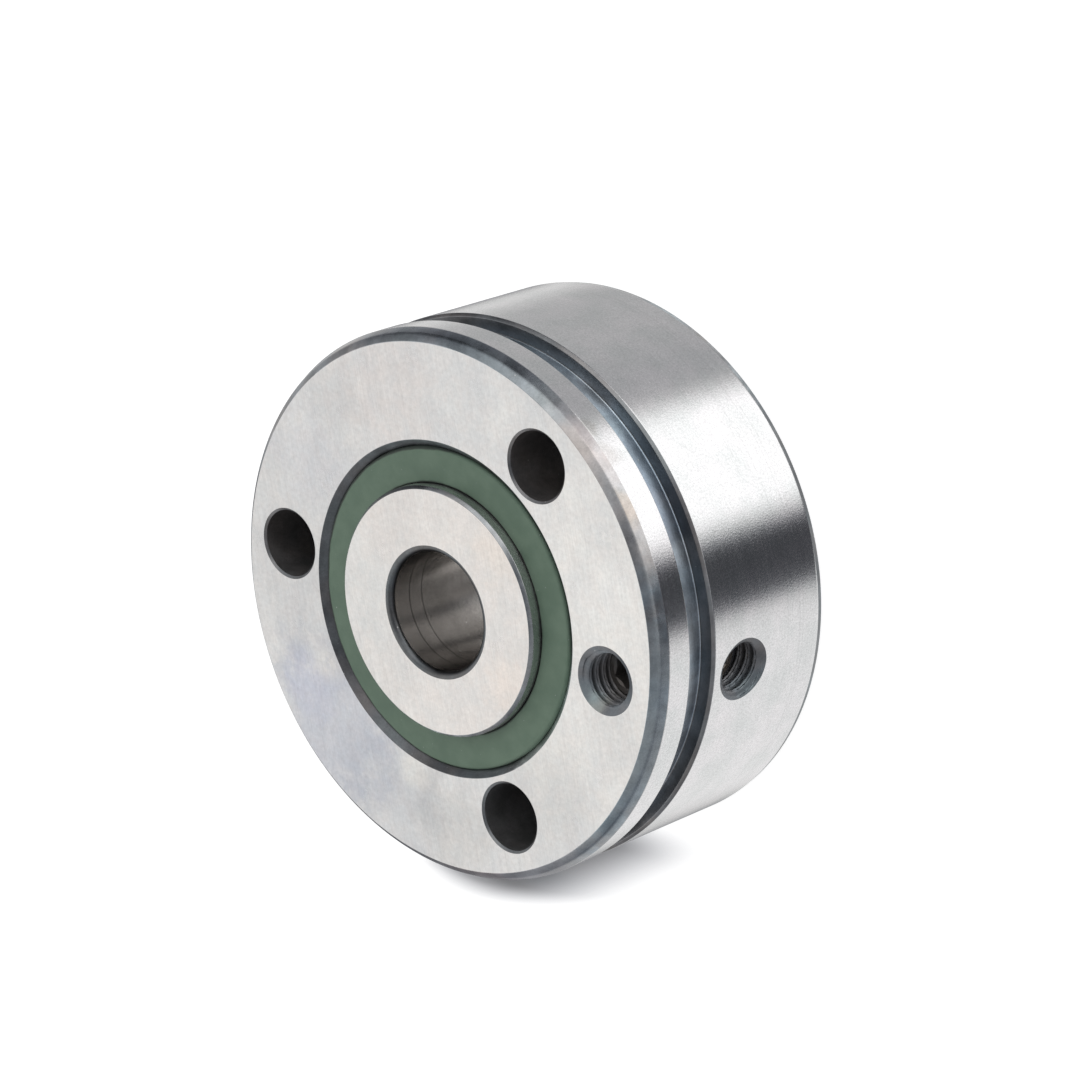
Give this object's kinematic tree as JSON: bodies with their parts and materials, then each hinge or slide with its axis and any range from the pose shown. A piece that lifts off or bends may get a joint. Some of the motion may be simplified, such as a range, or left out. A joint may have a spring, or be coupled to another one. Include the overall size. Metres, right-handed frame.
{
  "type": "angular contact thrust ball bearing",
  "caption": "Sealed double-row angular contact thrust ball bearing whose thick outer ring has through holes for mounting screws and tapped lubrication holes.",
  "frame": {"origin": "centre of the bearing's back face, on its axis", "axes": "+Z along the bearing axis towards the front face; +X towards the lubrication holes"},
  "size_m": [0.055, 0.055, 0.025],
  "materials": {
    "outer_ring_steel": "ground bearing steel, edges and recesses dark from hardening",
    "inner_ring_steel": "finely ground bearing steel",
    "ball_steel": "polished",
    "cage_plastic": "moulded polyamide",
    "seal_rubber": "matt moulded rubber",
    "set_screw_steel": "black oxide"
  },
  "bodies": {
    "root": {"outer_ring": "outer_ring_steel", "seal_front": "seal_rubber", "seal_rear": "seal_rubber", "set_screw_axial": "set_screw_steel", "set_screw_radial": "set_screw_steel"},
    "inner_front": {"inner_ring_front": "inner_ring_steel"},
    "inner_rear": {"inner_ring_rear": "inner_ring_steel"},
    "cage_front_body": {"cage_front": "cage_plastic"},
    "cage_rear_body": {"cage_rear": "cage_plastic"},
    "ball_front_01_body": {"ball_front_01": "ball_steel"},
    "ball_front_02_body": {"ball_front_02": "ball_steel"},
    "ball_front_03_body": {"ball_front_03": "ball_steel"},
    "ball_front_04_body": {"ball_front_04": "ball_steel"},
    "ball_front_05_body": {"ball_front_05": "ball_steel"},
    "ball_front_06_body": {"ball_front_06": "ball_steel"},
    "ball_front_07_body": {"ball_front_07": "ball_steel"},
    "ball_front_08_body": {"ball_front_08": "ball_steel"},
    "ball_front_09_body": {"ball_front_09": "ball_steel"},
    "ball_front_10_body": {"ball_front_10": "ball_steel"},
    "ball_front_11_body": {"ball_front_11": "ball_steel"},
    "ball_front_12_body": {"ball_front_12": "ball_steel"},
    "ball_rear_01_body": {"ball_rear_01": "ball_steel"},
    "ball_rear_02_body": {"ball_rear_02": "ball_steel"},
    "ball_rear_03_body": {"ball_rear_03": "ball_steel"},
    "ball_rear_04_body": {"ball_rear_04": "ball_steel"},
    "ball_rear_05_body": {"ball_rear_05": "ball_steel"},
    "ball_rear_06_body": {"ball_rear_06": "ball_steel"},
    "ball_rear_07_body": {"ball_rear_07": "ball_steel"},
    "ball_rear_08_body": {"ball_rear_08": "ball_steel"},
    "ball_rear_09_body": {"ball_rear_09": "ball_steel"},
    "ball_rear_10_body": {"ball_rear_10": "ball_steel"},
    "ball_rear_11_body": {"ball_rear_11": "ball_steel"},
    "ball_rear_12_body": {"ball_rear_12": "ball_steel"}
  },
  "joints": [
    {"name": "inner_front_spin", "type": "hinge", "parent": "root", "child": "inner_front", "pos_m": [0, 0, 0.01742], "axis": [0, 0, 1], "continuous": true},
    {"name": "inner_rear_spin", "type": "hinge", "parent": "root", "child": "inner_rear", "pos_m": [0, 0, 0.00763], "axis": [0, 0, 1], "continuous": true},
    {"name": "cage_front_spin", "type": "hinge", "parent": "root", "child": "cage_front_body", "pos_m": [0, 0, 0.01742], "axis": [0, 0, 1], "continuous": true},
    {"name": "cage_rear_spin", "type": "hinge", "parent": "root", "child": "cage_rear_body", "pos_m": [0, 0, 0.00763], "axis": [0, 0, 1], "continuous": true},
    {"name": "ball_front_01_roll", "type": "hinge", "parent": "cage_front_body", "child": "ball_front_01_body", "pos_m": [0.01325, 0, 0.01742], "axis": [0.866, 0, 0.5], "continuous": true},
    {"name": "ball_front_02_roll", "type": "hinge", "parent": "cage_front_body", "child": "ball_front_02_body", "pos_m": [0.01147, 0.00662, 0.01742], "axis": [0.75, 0.433, 0.5], "continuous": true},
    {"name": "ball_front_03_roll", "type": "hinge", "parent": "cage_front_body", "child": "ball_front_03_body", "pos_m": [0.00662, 0.01147, 0.01742], "axis": [0.433, 0.75, 0.5], "continuous": true},
    {"name": "ball_front_04_roll", "type": "hinge", "parent": "cage_front_body", "child": "ball_front_04_body", "pos_m": [0, 0.01325, 0.01742], "axis": [0, 0.866, 0.5], "continuous": true},
    {"name": "ball_front_05_roll", "type": "hinge", "parent": "cage_front_body", "child": "ball_front_05_body", "pos_m": [-0.00662, 0.01147, 0.01742], "axis": [-0.433, 0.75, 0.5], "continuous": true},
    {"name": "ball_front_06_roll", "type": "hinge", "parent": "cage_front_body", "child": "ball_front_06_body", "pos_m": [-0.01147, 0.00662, 0.01742], "axis": [-0.75, 0.433, 0.5], "continuous": true},
    {"name": "ball_front_07_roll", "type": "hinge", "parent": "cage_front_body", "child": "ball_front_07_body", "pos_m": [-0.01325, 0, 0.01742], "axis": [-0.866, 0, 0.5], "continuous": true},
    {"name": "ball_front_08_roll", "type": "hinge", "parent": "cage_front_body", "child": "ball_front_08_body", "pos_m": [-0.01147, -0.00662, 0.01742], "axis": [-0.75, -0.433, 0.5], "continuous": true},
    {"name": "ball_front_09_roll", "type": "hinge", "parent": "cage_front_body", "child": "ball_front_09_body", "pos_m": [-0.00662, -0.01147, 0.01742], "axis": [-0.433, -0.75, 0.5], "continuous": true},
    {"name": "ball_front_10_roll", "type": "hinge", "parent": "cage_front_body", "child": "ball_front_10_body", "pos_m": [0, -0.01325, 0.01742], "axis": [0, -0.866, 0.5], "continuous": true},
    {"name": "ball_front_11_roll", "type": "hinge", "parent": "cage_front_body", "child": "ball_front_11_body", "pos_m": [0.00662, -0.01147, 0.01742], "axis": [0.433, -0.75, 0.5], "continuous": true},
    {"name": "ball_front_12_roll", "type": "hinge", "parent": "cage_front_body", "child": "ball_front_12_body", "pos_m": [0.01147, -0.00662, 0.01742], "axis": [0.75, -0.433, 0.5], "continuous": true},
    {"name": "ball_rear_01_roll", "type": "hinge", "parent": "cage_rear_body", "child": "ball_rear_01_body", "pos_m": [0.0128, 0.00343, 0.00763], "axis": [0.8365, 0.2241, -0.5], "continuous": true},
    {"name": "ball_rear_02_roll", "type": "hinge", "parent": "cage_rear_body", "child": "ball_rear_02_body", "pos_m": [0.00937, 0.00937, 0.00763], "axis": [0.6124, 0.6124, -0.5], "continuous": true},
    {"name": "ball_rear_03_roll", "type": "hinge", "parent": "cage_rear_body", "child": "ball_rear_03_body", "pos_m": [0.00343, 0.0128, 0.00763], "axis": [0.2241, 0.8365, -0.5], "continuous": true},
    {"name": "ball_rear_04_roll", "type": "hinge", "parent": "cage_rear_body", "child": "ball_rear_04_body", "pos_m": [-0.00343, 0.0128, 0.00763], "axis": [-0.2241, 0.8365, -0.5], "continuous": true},
    {"name": "ball_rear_05_roll", "type": "hinge", "parent": "cage_rear_body", "child": "ball_rear_05_body", "pos_m": [-0.00937, 0.00937, 0.00763], "axis": [-0.6124, 0.6124, -0.5], "continuous": true},
    {"name": "ball_rear_06_roll", "type": "hinge", "parent": "cage_rear_body", "child": "ball_rear_06_body", "pos_m": [-0.0128, 0.00343, 0.00763], "axis": [-0.8365, 0.2241, -0.5], "continuous": true},
    {"name": "ball_rear_07_roll", "type": "hinge", "parent": "cage_rear_body", "child": "ball_rear_07_body", "pos_m": [-0.0128, -0.00343, 0.00763], "axis": [-0.8365, -0.2241, -0.5], "continuous": true},
    {"name": "ball_rear_08_roll", "type": "hinge", "parent": "cage_rear_body", "child": "ball_rear_08_body", "pos_m": [-0.00937, -0.00937, 0.00763], "axis": [-0.6124, -0.6124, -0.5], "continuous": true},
    {"name": "ball_rear_09_roll", "type": "hinge", "parent": "cage_rear_body", "child": "ball_rear_09_body", "pos_m": [-0.00343, -0.0128, 0.00763], "axis": [-0.2241, -0.8365, -0.5], "continuous": true},
    {"name": "ball_rear_10_roll", "type": "hinge", "parent": "cage_rear_body", "child": "ball_rear_10_body", "pos_m": [0.00343, -0.0128, 0.00763], "axis": [0.2241, -0.8365, -0.5], "continuous": true},
    {"name": "ball_rear_11_roll", "type": "hinge", "parent": "cage_rear_body", "child": "ball_rear_11_body", "pos_m": [0.00937, -0.00937, 0.00763], "axis": [0.6124, -0.6124, -0.5], "continuous": true},
    {"name": "ball_rear_12_roll", "type": "hinge", "parent": "cage_rear_body", "child": "ball_rear_12_body", "pos_m": [0.0128, -0.00343, 0.00763], "axis": [0.8365, -0.2241, -0.5], "continuous": true}
  ],
  "couplings": [
    {"joint": "cage_front_spin", "follows": "inner_front_spin", "ratio": 0.44759},
    {"joint": "cage_rear_spin", "follows": "inner_rear_spin", "ratio": 0.44759},
    {"joint": "ball_front_01_roll", "follows": "inner_front_spin", "ratio": -2.3586},
    {"joint": "ball_front_02_roll", "follows": "inner_front_spin", "ratio": -2.3586},
    {"joint": "ball_front_03_roll", "follows": "inner_front_spin", "ratio": -2.3586},
    {"joint": "ball_front_04_roll", "follows": "inner_front_spin", "ratio": -2.3586},
    {"joint": "ball_front_05_roll", "follows": "inner_front_spin", "ratio": -2.3586},
    {"joint": "ball_front_06_roll", "follows": "inner_front_spin", "ratio": -2.3586},
    {"joint": "ball_front_07_roll", "follows": "inner_front_spin", "ratio": -2.3586},
    {"joint": "ball_front_08_roll", "follows": "inner_front_spin", "ratio": -2.3586},
    {"joint": "ball_front_09_roll", "follows": "inner_front_spin", "ratio": -2.3586},
    {"joint": "ball_front_10_roll", "follows": "inner_front_spin", "ratio": -2.3586},
    {"joint": "ball_front_11_roll", "follows": "inner_front_spin", "ratio": -2.3586},
    {"joint": "ball_front_12_roll", "follows": "inner_front_spin", "ratio": -2.3586},
    {"joint": "ball_rear_01_roll", "follows": "inner_rear_spin", "ratio": 2.3586},
    {"joint": "ball_rear_02_roll", "follows": "inner_rear_spin", "ratio": 2.3586},
    {"joint": "ball_rear_03_roll", "follows": "inner_rear_spin", "ratio": 2.3586},
    {"joint": "ball_rear_04_roll", "follows": "inner_rear_spin", "ratio": 2.3586},
    {"joint": "ball_rear_05_roll", "follows": "inner_rear_spin", "ratio": 2.3586},
    {"joint": "ball_rear_06_roll", "follows": "inner_rear_spin", "ratio": 2.3586},
    {"joint": "ball_rear_07_roll", "follows": "inner_rear_spin", "ratio": 2.3586},
    {"joint": "ball_rear_08_roll", "follows": "inner_rear_spin", "ratio": 2.3586},
    {"joint": "ball_rear_09_roll", "follows": "inner_rear_spin", "ratio": 2.3586},
    {"joint": "ball_rear_10_roll", "follows": "inner_rear_spin", "ratio": 2.3586},
    {"joint": "ball_rear_11_roll", "follows": "inner_rear_spin", "ratio": 2.3586},
    {"joint": "ball_rear_12_roll", "follows": "inner_rear_spin", "ratio": 2.3586}
  ]
}
